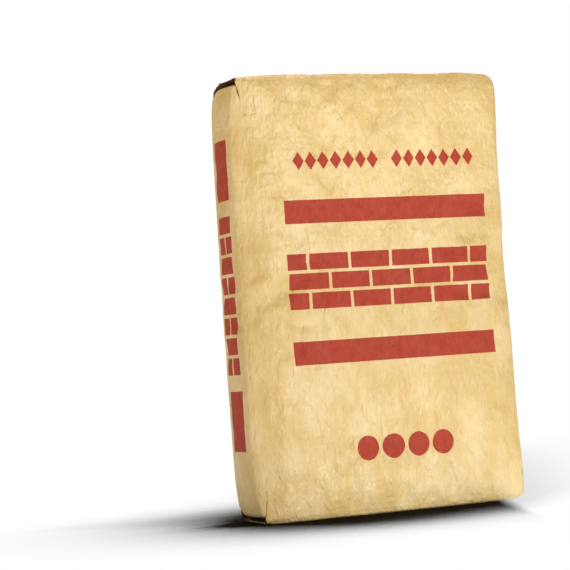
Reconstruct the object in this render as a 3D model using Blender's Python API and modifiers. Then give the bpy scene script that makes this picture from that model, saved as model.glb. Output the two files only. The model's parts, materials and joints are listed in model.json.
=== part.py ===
"""A filled cement bag standing on its end.

The bag is a thin paper sack with two folded flat ends, the cement powder that fills it, and the
paper strip that is glued along each end over the join of its two flaps. The front panel faces -Y,
the side panels face -X and +X, and the origin is on the floor under the middle of the bag.
Lengths are in metres, +Z is up.
"""

import math

import bmesh
import bpy
from mathutils import Matrix, Vector

# Outer size of the filled bag
WIDTH = 0.372
THICKNESS = 0.109
HEIGHT = 0.550

# Paper: one wall of two plies, and an end where flaps and corner folds lie on each other
WALL = 0.0005
END_WALL = 0.0020
CLEARANCE = 0.0003

# Lines of the coarse cage, as distances from the middle of the bag
CAGE_LINES_X = (0.035, 0.100, 0.162)
CAGE_LINES_Y = (0.012, 0.036)
CAGE_LINES_Z = (0.075, 0.175, 0.235, 0.261)

# How the full panels bulge and the margins draw in, as a share of the half size
FACE_CROWN = 0.130
SIDE_CROWN = 0.026
SIDE_WAIST = 0.022
END_TUCK_FACE = 0.060
END_TUCK_SIDE = 0.014
TUCK_POWER = 12
TOP_SLUMP = 0.010
TOP_DOME = 0.005

# Slit round the tongue of a side panel, where the end flaps stop
SLIT_WIDTH = 0.0030
SLIT_DROP = 0.0085
SLIT_HALF_SPAN = 0.0455
SLIT_RADIUS = 0.026
SLIT_ARM = 0.024
SLIT_CURL = 0.003
SLIT_REACH = 0.030
SLIT_ARC_STEPS = 6

# Closing strip glued along each end
STRIP_WIDTH = 0.024
STRIP_LENGTH = 0.318
STRIP_THICKNESS = 0.0012
STRIP_CENTRE_Y = 0.010
STRIP_STEPS = 24

KRAFT_PAPER = (0.72, 0.52, 0.26, 1.0)
STRIP_PAPER = (0.66, 0.47, 0.23, 1.0)
CEMENT_GREY = (0.36, 0.36, 0.35, 1.0)


def clear_scene():
    """Remove the objects of the start-up scene."""
    for thing in list(bpy.data.objects):
        bpy.data.objects.remove(thing, do_unlink=True)


def new_collection(name):
    """Make a collection and link it to the scene."""
    group = bpy.data.collections.new(name)
    bpy.context.scene.collection.children.link(group)
    return group


def plain_material(name, colour, roughness):
    """A Principled material with one colour."""
    material = bpy.data.materials.new(name)
    material.use_nodes = True
    shader = material.node_tree.nodes["Principled BSDF"]
    shader.inputs["Base Color"].default_value = colour
    shader.inputs["Roughness"].default_value = roughness
    shader.inputs["Metallic"].default_value = 0.0
    return material


def add_object(name, mesh, group, material=None):
    """Wrap a mesh in an object of the given collection."""
    thing = bpy.data.objects.new(name, mesh)
    group.objects.link(thing)
    if material is not None:
        mesh.materials.append(material)
    return thing


def mesh_from(bm, name):
    """Turn a bmesh into a mesh and free it."""
    mesh = bpy.data.meshes.new(name)
    bm.to_mesh(mesh)
    bm.free()
    return mesh


def bag_form(point):
    """Move a point of the plain box onto the form of the filled bag.

    Panels are fullest along their middle and draw in towards the vertical edges and the two ends.
    The stiff folded ends hold the sack a little wider than its waist. The powder settles, so the top
    is slimmer than the bottom, and the top end is domed while the bottom end is pressed flat.
    """
    across = abs(point.x) / (WIDTH / 2)
    deep = abs(point.y) / (THICKNESS / 2)
    along = (point.z - HEIGHT / 2) / (HEIGHT / 2)
    end = abs(along) ** TUCK_POWER
    slump = 1 - TOP_SLUMP * (along + 1) / 2
    waist = 1 - SIDE_WAIST * (1 - along**2)
    x = point.x * (1 - SIDE_CROWN * deep**2) * (1 - END_TUCK_SIDE * end) * waist * slump
    y = point.y * (1 - FACE_CROWN * across**3) * (1 - END_TUCK_FACE * end) * slump
    z = point.z
    if along > 0:
        z -= TOP_DOME * along**TUCK_POWER * (across**2 + deep**2) / 2
    return Vector((x, y, z))


def bag_cage(name):
    """Coarse cage of the bag: a box cut along a few lines and moved onto the bag's form."""
    bm = bmesh.new()
    size = Matrix.Diagonal((WIDTH, THICKNESS, HEIGHT, 1.0))
    place = Matrix.Translation((0, 0, HEIGHT / 2))
    bmesh.ops.create_cube(bm, size=1.0, matrix=place @ size)
    directions = Matrix.Identity(3)
    for normal, lines in zip(directions, (CAGE_LINES_X, CAGE_LINES_Y, CAGE_LINES_Z)):
        for line in lines:
            for side in (-1, 1):
                middle = Vector((0, 0, HEIGHT / 2)) + normal * line * side
                geometry = bm.verts[:] + bm.edges[:] + bm.faces[:]
                bmesh.ops.bisect_plane(bm, geom=geometry, plane_co=middle, plane_no=normal)
    for vert in bm.verts:
        vert.co = bag_form(vert.co)
    return mesh_from(bm, name)


def mark_ends(thing):
    """Vertex group of the two ends, where the paper lies in several layers."""
    group = thing.vertex_groups.new(name="ends")
    box_top = HEIGHT - TOP_DOME - CLEARANCE
    ends = [v.index for v in thing.data.vertices if v.co.z < CLEARANCE or v.co.z > box_top]
    group.add(ends, 1.0, "REPLACE")
    return group.name


def add_subdivision(thing, levels=1):
    """Catmull-Clark rounding, the same in view and render."""
    modifier = thing.modifiers.new("Rounding", "SUBSURF")
    modifier.levels = levels
    modifier.render_levels = levels


def cut_with(thing, cutter):
    """Cut one solid out of another."""
    modifier = thing.modifiers.new("Cut " + cutter.name, "BOOLEAN")
    modifier.operation = "DIFFERENCE"
    modifier.solver = "EXACT"
    modifier.object = cutter


def slit_outline():
    """Points (y, z) of a C round the tongue, with z measured down from the end of the bag.

    The C runs straight across the edge of the end, turns through two quarter circles and ends in
    two short arms along the side panel's margins that curl slightly inwards.
    """
    half = []
    corner_y = SLIT_HALF_SPAN - SLIT_RADIUS
    corner_z = -SLIT_DROP - SLIT_RADIUS
    for step in range(SLIT_ARC_STEPS + 1):
        angle = math.pi / 2 * step / SLIT_ARC_STEPS
        y = corner_y + SLIT_RADIUS * math.sin(angle)
        z = corner_z + SLIT_RADIUS * math.cos(angle)
        half.append((y, z))
    half.append((SLIT_HALF_SPAN - SLIT_CURL, corner_z - SLIT_ARM))
    return [(-y, z) for y, z in reversed(half)] + half


def slit_cutter_mesh():
    """Upright C-shaped wall that cuts the slit at the top of the right side panel."""
    bm = bmesh.new()
    verts = [bm.verts.new((WIDTH / 2 - SLIT_REACH, y, HEIGHT / 2 + z)) for y, z in slit_outline()]
    edges = [bm.edges.new(pair) for pair in zip(verts, verts[1:])]
    moved = bmesh.ops.extrude_edge_only(bm, edges=edges)["geom"]
    outer = [item for item in moved if isinstance(item, bmesh.types.BMVert)]
    bmesh.ops.translate(bm, verts=outer, vec=(SLIT_REACH * 1.5, 0, 0))
    bmesh.ops.recalc_face_normals(bm, faces=bm.faces[:])
    return mesh_from(bm, "slit_cutter")


def add_slit_cutters(group):
    """Four cutters, one at each end of both side panels, sharing one mesh."""
    mesh = slit_cutter_mesh()
    turns = {
        "top_right": Matrix.Identity(4),
        "top_left": Matrix.Rotation(math.pi, 4, "Z"),
        "bottom_right": Matrix.Rotation(math.pi, 4, "X"),
        "bottom_left": Matrix.Rotation(math.pi, 4, "Y"),
    }
    cutters = []
    for corner, turn in turns.items():
        cutter = add_object("slit_" + corner, mesh, group)
        cutter.matrix_world = Matrix.Translation((0, 0, HEIGHT / 2)) @ turn
        wall = cutter.modifiers.new("Slit width", "SOLIDIFY")
        wall.thickness = SLIT_WIDTH
        wall.offset = 0.0
        cutters.append(cutter)
    return cutters


def box_mesh(name, size, centre):
    """A plain box of the given size."""
    bm = bmesh.new()
    shape = Matrix.Translation(centre) @ Matrix.Diagonal((*size, 1.0))
    bmesh.ops.create_cube(bm, size=1.0, matrix=shape)
    return mesh_from(bm, name)


def add_strip_recess(group):
    """Cutter for the shallow bed that the weight of the bag presses round the bottom strip."""
    depth = STRIP_THICKNESS + CLEARANCE
    margin = 2 * CLEARANCE
    size = (STRIP_LENGTH + margin, STRIP_WIDTH + margin, 2 * depth)
    mesh = box_mesh("strip_recess", size, (0, STRIP_CENTRE_Y, 0))
    return add_object("strip_recess", mesh, group)


def hide_cutter(cutter):
    """Show a cutter as wires only and keep it out of the render."""
    cutter.hide_render = True
    cutter.display_type = "WIRE"


def add_paper_sack(group, cutters, material):
    """Thin paper shell, thicker at its folded ends, with a slit round each of four tongues."""
    sack = add_object("paper_sack", bag_cage("paper_sack"), group, material)
    ends = mark_ends(sack)
    add_subdivision(sack)
    wall = sack.modifiers.new("Paper wall", "SOLIDIFY")
    wall.thickness = END_WALL
    wall.offset = -1.0
    wall.vertex_group = ends
    wall.thickness_vertex_group = WALL / END_WALL
    for cutter in cutters:
        cut_with(sack, cutter)
    return sack


def add_cement_fill(group, material):
    """The powder, which fills the sack up to a hair's breadth of the paper."""
    fill = add_object("cement_fill", bag_cage("cement_fill"), group, material)
    ends = mark_ends(fill)
    add_subdivision(fill)
    inset = fill.modifiers.new("Inside the wall", "DISPLACE")
    inset.mid_level = 0.0
    inset.strength = -(WALL + CLEARANCE)
    deeper = fill.modifiers.new("Inside the ends", "DISPLACE")
    deeper.mid_level = 0.0
    deeper.strength = -(END_WALL - WALL)
    deeper.vertex_group = ends
    return fill


def add_top_strip(group, sack, material):
    """Paper band laid over the domed top end, following it along its length."""
    bm = bmesh.new()
    size = Matrix.Diagonal((STRIP_LENGTH / 2, STRIP_WIDTH / 2, 1.0, 1.0))
    place = Matrix.Translation((0, STRIP_CENTRE_Y, HEIGHT + WALL))
    bmesh.ops.create_grid(bm, x_segments=STRIP_STEPS, y_segments=2, size=1.0, matrix=place @ size)
    strip = add_object("top_closing_strip", mesh_from(bm, "top_closing_strip"), group, material)
    lay = strip.modifiers.new("Lie on the end", "SHRINKWRAP")
    lay.wrap_method = "PROJECT"
    lay.use_project_z = True
    lay.use_negative_direction = True
    lay.use_positive_direction = False
    lay.target = sack
    lay.offset = CLEARANCE
    body = strip.modifiers.new("Strip thickness", "SOLIDIFY")
    body.thickness = STRIP_THICKNESS
    body.offset = 1.0
    return strip


def add_bottom_strip(group, material):
    """The same band on the bottom end, pressed flush with the face that the bag stands on."""
    size = (STRIP_LENGTH, STRIP_WIDTH, STRIP_THICKNESS)
    mesh = box_mesh("bottom_closing_strip", size, (0, STRIP_CENTRE_Y, STRIP_THICKNESS / 2))
    return add_object("bottom_closing_strip", mesh, group, material)


def main():
    """Build the bag."""
    clear_scene()
    bag = new_collection("cement_bag")
    tools = new_collection("cutters")
    kraft = plain_material("kraft_paper", KRAFT_PAPER, 0.75)
    band = plain_material("strip_paper", STRIP_PAPER, 0.80)
    cement = plain_material("cement_powder", CEMENT_GREY, 0.95)
    cutters = add_slit_cutters(tools) + [add_strip_recess(tools)]
    for cutter in cutters:
        hide_cutter(cutter)
    sack = add_paper_sack(bag, cutters, kraft)
    add_cement_fill(bag, cement)
    add_top_strip(bag, sack, band)
    add_bottom_strip(bag, band)


main()
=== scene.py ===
# %% [markdown]
# # A full cement bag, dressed for the camera
# The real object is a paper sack that is packed tight with cement powder and stands on its end. Its
# parts are the sack itself, the powder inside, and a strip of paper glued along each end. The packed
# model gives each of them its place, and this lesson gives them their folds, creases, print and paper.
# A sack could be sculpted by hand, but here every surface is worked out with numpy on one grid of
# lines, so that the print, the slits and the creases all use the same coordinates.

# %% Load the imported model
import json
import math

import bpy
import numpy as np
from mathutils import Matrix, Vector

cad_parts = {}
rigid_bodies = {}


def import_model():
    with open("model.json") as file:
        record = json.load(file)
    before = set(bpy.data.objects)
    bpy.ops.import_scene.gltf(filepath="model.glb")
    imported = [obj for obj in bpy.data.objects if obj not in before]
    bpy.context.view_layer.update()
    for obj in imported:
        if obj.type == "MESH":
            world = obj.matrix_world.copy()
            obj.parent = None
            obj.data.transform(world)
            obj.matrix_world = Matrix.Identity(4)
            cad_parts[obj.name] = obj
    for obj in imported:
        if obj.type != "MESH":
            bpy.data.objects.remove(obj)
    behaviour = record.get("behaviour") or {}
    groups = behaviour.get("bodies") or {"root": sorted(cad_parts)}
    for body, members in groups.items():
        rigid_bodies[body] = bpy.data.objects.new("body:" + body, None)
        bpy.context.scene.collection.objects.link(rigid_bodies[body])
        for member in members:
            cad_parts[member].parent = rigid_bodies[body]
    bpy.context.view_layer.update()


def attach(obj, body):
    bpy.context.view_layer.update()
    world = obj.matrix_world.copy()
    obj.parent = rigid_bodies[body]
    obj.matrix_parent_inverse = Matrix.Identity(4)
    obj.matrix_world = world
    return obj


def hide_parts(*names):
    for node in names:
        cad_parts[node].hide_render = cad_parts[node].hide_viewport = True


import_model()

# %% [markdown]
# ## Camera
# A long lens stands about two and a half metres away, a little left of the front panel, and looks very
# slightly up. The picture is turned by four degrees, which is why the upright bag leans to the left in
# it. These values were fitted to the outline of the bag, so they are stated and not found by eye.

# %% Camera
CAMERA_PLACE = Vector((-1.0615, -2.2696, 0.1900))
CAMERA_FORWARD = Vector((0.38576, 0.92169, 0.04085)).normalized()
CAMERA_ROLL = math.radians(-4.094)
LENS_MM = 125.0


def camera_matrix(place, forward, roll):
    """Level right and up directions across the line of sight, both turned about it by the roll."""
    level_right = forward.cross(Vector((0, 0, 1))).normalized()
    level_up = level_right.cross(forward)
    right = math.cos(roll) * level_right + math.sin(roll) * level_up
    up = -math.sin(roll) * level_right + math.cos(roll) * level_up
    turn = Matrix((right, up, -forward)).transposed()
    return Matrix.Translation(place) @ turn.to_4x4()


camera_data = bpy.data.cameras.new("long_lens")
camera_data.lens = LENS_MM
camera_data.sensor_width = 36.0
camera = bpy.data.objects.new("camera", camera_data)
camera.matrix_world = camera_matrix(CAMERA_PLACE, CAMERA_FORWARD, CAMERA_ROLL)
bpy.context.scene.collection.objects.link(camera)
bpy.context.scene.camera = camera
print("The camera stands", round(CAMERA_PLACE.length, 2), "m from the foot of the bag")

# %% [markdown]
# ## Nodes and colours
# A material is a tree of nodes, and each node is one small step: a number, a pattern, a mix of two
# colours. A tree could be clicked together by hand. Written down, it needs one function that adds a
# node, sets it and wires its inputs, and one that turns a colour of a paint chart into the linear
# values in which light adds up.

# %% Nodes and colours
def linear(hex_colour):
    """sRGB hex to the linear red, green and blue that shaders use, with an alpha of one."""
    channels = [int(hex_colour[i:i + 2], 16) / 255 for i in (1, 3, 5)]
    return (*[c / 12.92 if c <= 0.04045 else ((c + 0.055) / 1.055) ** 2.4 for c in channels], 1.0)


def add(tree, kind, values=(), out=0, **settings):
    """Add a node, set its properties, feed its inputs and give back one of its outputs.

    The kind is the node's name in Python after the word ShaderNode. Inputs are named, or counted from
    0. A socket is wired to its input, and any other value is typed into it.
    """
    node = tree.nodes.new("ShaderNode" + kind)
    for name, setting in settings.items():
        setattr(node, name, setting)
    for name, value in (values if isinstance(values, dict) else dict(enumerate(values))).items():
        if isinstance(value, bpy.types.NodeSocket):
            tree.links.new(value, node.inputs[name])
        else:
            node.inputs[name].default_value = value
    return node.outputs[out] if node.outputs else node


def new_tree(name):
    """A new material, and its node tree with nothing in it yet."""
    material = bpy.data.materials.new(name)
    material.use_nodes = True
    material.node_tree.nodes.clear()
    return material, material.node_tree


SMOOTH = {"interpolation_type": "SMOOTHSTEP"}
WHITE = linear("#FFFFFF")
print("A middle grey of the chart is", round(linear("#808080")[0], 3), "in linear light")

# %% [markdown]
# ## The floor
# The bag stands in a bright studio on white backdrop paper that runs on without a horizon. Lamps that
# burn such paper out evenly are hard to place, so here the paper glows by itself. An ambient occlusion
# node tells how much of the room each point of the floor sees. Where that is little, round the foot of
# the bag, the glow gives way to grey matt paper, a painted contact shadow. That painted shadow isn't the
# same all round, so a few ramps, values that run evenly from one place to another, lean it to the left,
# end it before the right corner, and paint a wide faint shadow behind the bag by dimming the glow.

# %% Backdrop paper
FLOOR_SIZE = 60.0
# Grey of the painted contact shadow round the foot of the bag, a matt paper that the lamps still light
SHADE_GREY = linear("#262420")
SHADE_REACH = 0.38
SHADE_SAMPLES = 16
DARK_BELOW, WHITE_ABOVE = 0.725, 0.965
# A ramp has a direction on the floor, the places along it where it starts and ends, and its two values
SHADE_ACROSS = (0.92, -0.39, 0.0)
SHADE_LEAN = (-0.12, 0.18, -0.025, 0.045)
SHADE_END = (0.143, 0.172, 0.72, 0.965)
# Painted cast shadow: the share by which the glow is dimmed behind the bag, within the ramps below
PAINTED_SHADOW_DARKNESS = 0.25
PAINTED_SHADOW_RAMPS = (
    ((0.872, -0.505, 0.0), (0.170, 0.285, 1.0, 0.0)),
    ((-1.0, 1.0, 0.0), (-0.33, -0.24, 0.0, 1.0)),
    ((-1.0, 1.0, 0.0), (0.24, 0.60, 1.0, 0.0)),
    ((1.0, 1.0, 0.0), (-0.16, -0.04, 0.0, 1.0)),
    ((0.0, 1.0, 0.0), (0.10, 1.50, 1.0, 0.0)),
)


def floor_ramp(tree, direction, low, high, at_low, at_high):
    """A value that runs evenly from one to another between two places along a direction."""
    place = add(tree, "TexCoord", out="Object")
    along = add(tree, "VectorMath", (place, direction), out="Value", operation="DOT_PRODUCT")
    return add(tree, "MapRange", (along, low, high, at_low, at_high))


def backdrop_paper():
    """White paper that glows, with painted shadow: grey matt paper where it sees less of the room, dimmer
    behind the bag.
    """
    material, tree = new_tree("backdrop_glow_and_painted_shadow")
    lit = add(tree, "AmbientOcclusion", {"Distance": SHADE_REACH}, out="AO", samples=SHADE_SAMPLES)
    lit = add(tree, "Math", (lit, floor_ramp(tree, SHADE_ACROSS, *SHADE_LEAN)), operation="ADD")
    lit = add(tree, "Math", (lit, floor_ramp(tree, SHADE_ACROSS, *SHADE_END)), operation="MAXIMUM")
    share = add(tree, "MapRange", (lit, DARK_BELOW, WHITE_ABOVE), **SMOOTH)
    # Painted cast shadow behind the bag: the darkness, narrowed by each ramp in turn
    painted_cast_shadow = PAINTED_SHADOW_DARKNESS
    for direction, limits in PAINTED_SHADOW_RAMPS:
        painted_cast_shadow = add(tree, "Math", (painted_cast_shadow, floor_ramp(tree, direction, *limits)), operation="MULTIPLY")
    glow = add(tree, "Math", (1.0, painted_cast_shadow), operation="SUBTRACT")
    light = add(tree, "Emission", {"Color": WHITE, "Strength": glow})
    mixed = add(tree, "MixShader", (share, add(tree, "BsdfDiffuse", {"Color": SHADE_GREY}), light))
    add(tree, "OutputMaterial", {"Surface": mixed})
    return material


edge = FLOOR_SIZE / 2
corners = [(-edge, -edge, 0), (edge, -edge, 0), (edge, edge, 0), (-edge, edge, 0)]
floor_mesh = bpy.data.meshes.new("studio_floor")
floor_mesh.from_pydata(corners, [], [(0, 1, 2, 3)])
floor_mesh.materials.append(backdrop_paper())
floor = bpy.data.objects.new("studio_floor", floor_mesh)
bpy.context.scene.collection.objects.link(floor)
print("The floor is", FLOOR_SIZE, "m wide, and shade reaches", SHADE_REACH, "m from the bag")

# %% [markdown]
# ## Lamps and room
# One soft lamp in front lights the front panel. One high up behind the bag lights its top end, and a
# weak warm one on the left keeps the side panel readable. A sun would be simpler, but its shade is hard
# and the same everywhere. The lower and the upper part of the front panel are a little brighter than
# its middle, which two narrow spots with soft rims add. To the camera the room is white, and to the
# paper it is dim and warm, as if the light came off other paper.

# %% Lamps and room
BAG_MIDDLE = (0.0, 0.0, 0.28)
SPOT_PLACE = (0.6, -3.0, 0.30)
NARROW_BEAM = {"spot_size": math.radians(10), "spot_blend": 1.0, "shadow_soft_size": 0.15}
ROOM_STRENGTH = 0.24


def lamp(kind, name, place, target, watts, colour="#FFFFFF", **settings):
    """A lamp of a kind that looks from its place at a target; an area lamp is a square."""
    data = bpy.data.lights.new(name, kind)
    data.energy = watts
    data.color = linear(colour)[:3]
    for setting, value in settings.items():
        setattr(data, setting, value)
    thing = bpy.data.objects.new(name, data)
    turn = (Vector(target) - Vector(place)).to_track_quat("-Z", "Y")
    thing.matrix_world = Matrix.Translation(place) @ turn.to_matrix().to_4x4()
    bpy.context.scene.collection.objects.link(thing)


lamp("AREA", "front_softbox", (0.50, -3.0, 0.42), BAG_MIDDLE, 42.5, "#FFFDF8", size=0.40)
lamp("AREA", "overhead_back", (0.3, 0.8, 2.2), (0.0, 0.0, 0.0), 22.0, "#FFE9C8", size=0.8)
lamp("AREA", "warm_left_fill", (-1.6, 0.3, 1.3), (-0.18, 0.0, 0.50), 6.5, "#FFE3BC", size=0.7)
lamp("SPOT", "low_front_spot", SPOT_PLACE, (0.0, 0.0, -0.06), 150.0, **NARROW_BEAM)
lamp("SPOT", "high_front_spot", SPOT_PLACE, (0.0, 0.0, 0.53), 50.0, **NARROW_BEAM)

sky = bpy.data.worlds.new("studio_white")
sky.use_nodes = True
sky.node_tree.nodes.clear()
seen = add(sky.node_tree, "LightPath", out="Is Camera Ray")
warm_room = add(sky.node_tree, "Background", {"Color": linear("#FFE0AC"), "Strength": ROOM_STRENGTH})
backdrop = add(sky.node_tree, "Background", {"Color": WHITE, "Strength": 1.0})
either = add(sky.node_tree, "MixShader", (seen, warm_room, backdrop))
add(sky.node_tree, "OutputWorld", {"Surface": either})
bpy.context.scene.world = sky
bpy.context.scene.view_settings.view_transform = "Standard"

# %% [markdown]
# ## The form of the full bag
# A filled sack starts as a box of paper and swells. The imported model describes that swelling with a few
# formulas: the panels are fullest in the middle, the sides are drawn in at the waist, and the top is
# domed. The same formulas are used here on a much finer box, whose edges are rounded first. It could
# be sculpted too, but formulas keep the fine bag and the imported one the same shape. No two corners of
# a real bag are alike, so each gets its own gentle push, and so do the right edge and the top edge.

# %% Sizes of the form
# Lengths are in metres; crowns, waist, end tucks and the slump are shares of the width or thickness
WIDTH = 0.372
THICKNESS = 0.109
HEIGHT = 0.550
HALF = np.array((WIDTH, THICKNESS, HEIGHT)) / 2
ROUNDING = np.array((0.0165, 0.0135, 0.0085))
FACE_CROWN = 0.130
SIDE_CROWN = 0.026
SIDE_WAIST = 0.022
END_TUCK_FACE = 0.060
END_TUCK_SIDE = 0.014
TUCK_POWER = 12
TOP_SLUMP = 0.010
TOP_DOME = 0.005
LEFT_CORNER_TUCK = 0.0045
TOP_RIGHT_FLARE = 0.0055
CORNER_POWER = 8
LEFT_FILL = 0.0050
RIGHT_FILL = 0.0036
RIGHT_TOP_ROUNDING = 0.0140
RIGHT_BOTTOM_ROUNDING = 0.0050
LEFT_ROLL_ACROSS = 0.029
LEFT_ROLL_DEEP = 0.0125
ROLL_POWER = 8
# Where each change fades in, as distances from the bag's middle
RIGHT_ROUNDING_FADE = (0.08, 0.17)
LEFT_ROLL_FADE = (0.08, 0.13)
FRONT_ROLL_FADE = (0.010, 0.030)
CORNER_FADE = (0.05, 0.18)
FILL_FADE = (0.12, 0.18)
RIGHT_PUSH_FADE = (0.10, 0.17)
# Soft bulges and dents of the right edge (height, push to the right, reach) and of the top edge (place
# across, push up, reach)
RIGHT_EDGE_PUSHES = ((0.500, 0.0027, 0.045), (0.300, -0.0019, 0.065), (0.025, 0.0028, 0.045))
TOP_EDGE_PUSHES = ((-0.125, 0.0013, 0.040), (0.133, 0.0017, 0.030))
print("The plain box measures", WIDTH, "by", THICKNESS, "by", HEIGHT, "m")


# %% Rounding and swelling
def smooth_step(value, low, high):
    """0 below low, 1 above high, and an S curve between them."""
    t = np.clip((value - low) / (high - low), 0, 1)
    return t * t * (3 - 2 * t)


def edge_rounding(box):
    """Rounding radii along x, y and z for each point.

    The right-hand corners are rounder in height. The upright edge at the front left is rounder across,
    by one minus the eighth power of the height, so that it runs out at both ends.
    """
    radii = np.tile(ROUNDING, (len(box), 1))
    along = box[:, 2] / HALF[2]
    rolled = smooth_step(-box[:, 0], *LEFT_ROLL_FADE) * smooth_step(-box[:, 1], *FRONT_ROLL_FADE)
    rolled *= 1 - along**ROLL_POWER
    radii[:, 0] += LEFT_ROLL_ACROSS * rolled
    radii[:, 1] += LEFT_ROLL_DEEP * rolled
    at_right = smooth_step(box[:, 0], *RIGHT_ROUNDING_FADE)
    radii[:, 2] += at_right * np.where(box[:, 2] > 0, RIGHT_TOP_ROUNDING, RIGHT_BOTTOM_ROUNDING)
    return radii


def bag_surface(box, inset=0.0, rounding=None):
    """Turn points on a plain box into points on the full bag.

    Rounding: the part of a point that reaches past the inner box is stretched or shrunk to length one
    in units of the rounding radii. Swelling: x and y are scaled down near edges and ends by powers of
    the distance from the middle. Corners: x is pushed by the eighth power of the height. Edges: the
    pushes are bells along the edge, exp(-(distance / reach) squared).
    """
    rounding = edge_rounding(box) if rounding is None else rounding
    half = HALF - inset
    inner = np.clip(box, rounding - half, half - rounding)
    corner = (np.clip(box, -half, half) - inner) / rounding
    corner /= np.linalg.norm(corner, axis=1, keepdims=True)
    x, y, z = (inner + rounding * corner).T
    across, deep, along = np.abs(x) / HALF[0], np.abs(y) / HALF[1], z / HALF[2]
    end = np.abs(along) ** TUCK_POWER
    slump = 1 - TOP_SLUMP * (along + 1) / 2
    waist = 1 - SIDE_WAIST * (1 - along**2)
    new_x = x * (1 - SIDE_CROWN * deep**2) * (1 - END_TUCK_SIDE * end) * waist * slump
    new_y = y * (1 - FACE_CROWN * across**3) * (1 - END_TUCK_FACE * end) * slump
    new_z = z + HALF[2] - TOP_DOME * end * (across**2 + deep**2) / 2 * (along > 0)
    corners = np.abs(along) ** CORNER_POWER
    new_x += LEFT_CORNER_TUCK * corners * smooth_step(-x, *CORNER_FADE)
    new_x += TOP_RIGHT_FLARE * corners * (along > 0) * smooth_step(x, *CORNER_FADE)
    fullness = 1 - along**2
    new_x += fullness * RIGHT_FILL * smooth_step(x, *FILL_FADE)
    new_x -= fullness * LEFT_FILL * smooth_step(-x, *FILL_FADE)
    for height, push, reach in RIGHT_EDGE_PUSHES:
        new_x += push * np.exp(-((new_z - height) / reach) ** 2) * smooth_step(x, *RIGHT_PUSH_FADE)
    for middle, push, reach in TOP_EDGE_PUSHES:
        new_z += push * np.exp(-((x - middle) / reach) ** 2) * end * (along > 0)
    return np.stack((new_x, new_y, new_z), axis=1)


bulge = -bag_surface(np.array(((0.0, -HALF[1], 0.0),)))[0, 1]
print("The middle of the front panel lies", round(1000 * bulge, 1), "mm from the middle of the bag")

# %% [markdown]
# ## A box of grid lines
# Every later step needs to know which panel a point is on and where. So the surface is the skin of a
# lattice: three lists of lines, one for each direction, and a point wherever three lines meet on the
# outside. Lines run exactly along the slits and the glued strips, which lets those be cut cleanly.

# %% Lattice
FINE_STEP = 0.0026
# A slit: half of its width, and how far below the bag's end its rim lies and its arms stop
SLIT_SPAN = 0.0508
SLIT_DROP = 0.0085
SLIT_ARM_END = 0.0400
# The top strip: half of its length, and its front and back edges
STRIP_HALF_LENGTH = 0.1629
STRIP_FRONT = -0.0021
STRIP_BACK = 0.0237


def lines_between(stops, step):
    """Lines at every stop, with evenly spaced ones between that are at most a step apart."""
    parts = [np.linspace(a, b, max(1, math.ceil((b - a) / step - 1e-6)), endpoint=False)
             for a, b in zip(stops, stops[1:])]
    return np.concatenate(parts + [np.array(stops[-1:])])


def bag_lines(step):
    """The three lists of lines, measured from the middle of the bag."""
    ends = [HALF[2] - depth for depth in (0.0, SLIT_DROP, SLIT_ARM_END)]
    stops = (
        (-HALF[0], -STRIP_HALF_LENGTH, STRIP_HALF_LENGTH, HALF[0]),
        (-HALF[1], -SLIT_SPAN, STRIP_FRONT, STRIP_BACK, SLIT_SPAN, HALF[1]),
        [-e for e in ends] + ends[::-1],
    )
    return [lines_between(s, step) for s in stops]


def box_skin(lines):
    """Number the points on the outside of a lattice and list the faces of its six sides.

    Returns the points, and for each side the grid of its points' numbers.
    """
    shape = [len(line) for line in lines]
    outside = np.zeros(shape, bool)
    for axis in range(3):
        side = [slice(None)] * 3
        side[axis] = [0, -1]
        outside[tuple(side)] = True
    number = np.full(shape, -1)
    number[outside] = np.arange(outside.sum())
    where = np.argwhere(outside)
    points = np.stack([lines[axis][where[:, axis]] for axis in range(3)], axis=1)
    sides = {
        "left": number[0], "right": number[-1], "front": number[:, 0],
        "back": number[:, -1], "bottom": number[:, :, 0], "top": number[:, :, -1],
    }
    return points, sides


def grid_quads(grid, turned):
    """Four point numbers for each cell of a grid; turned reverses them, so that they face out."""
    quads = np.stack((grid[:-1, :-1], grid[1:, :-1], grid[1:, 1:], grid[:-1, 1:]), axis=2)
    return quads[:, :, ::-1] if turned else quads


TURNED_SIDES = ("left", "back", "bottom")
SIDE_AXES = {
    "left": (1, 2), "right": (1, 2), "front": (0, 2), "back": (0, 2), "bottom": (0, 1), "top": (0, 1),
}
lines = bag_lines(FINE_STEP)
box, sides = box_skin(lines)
quads = {name: grid_quads(grid, name in TURNED_SIDES) for name, grid in sides.items()}
print("Lattice", [len(line) for line in lines], "lines,", len(box), "points on the skin")

# %% [markdown]
# ## Swelling by cloth simulation
# Powder pushes the paper outwards, and stiff paper that has a little too much length buckles into soft
# dents near the ends and edges. Blender's cloth can do just that: a coarse copy of the bag gets
# pressure inside and paper that is one percent too long, and runs for twenty frames. It also bulges
# the panels far more than a packed bag does. So only the short dents of what it moved are kept: the
# broad part is taken away, the part square to the paper stays, and no dent is deeper than two
# millimetres. The rest is passed on to the fine grid.

# %% Meshes from arrays
def new_object(name, points, *face_lists):
    """A mesh object from an array of points and one or more arrays of faces."""
    mesh = bpy.data.meshes.new(name)
    mesh.from_pydata(points.tolist(), [], [face for faces in face_lists for face in faces.tolist()])
    thing = bpy.data.objects.new(name, mesh)
    bpy.context.scene.collection.objects.link(thing)
    return thing


def mesh_points(mesh):
    """All points of a mesh as an array."""
    flat = np.empty(len(mesh.vertices) * 3)
    mesh.vertices.foreach_get("co", flat)
    return flat.reshape(-1, 3)


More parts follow.
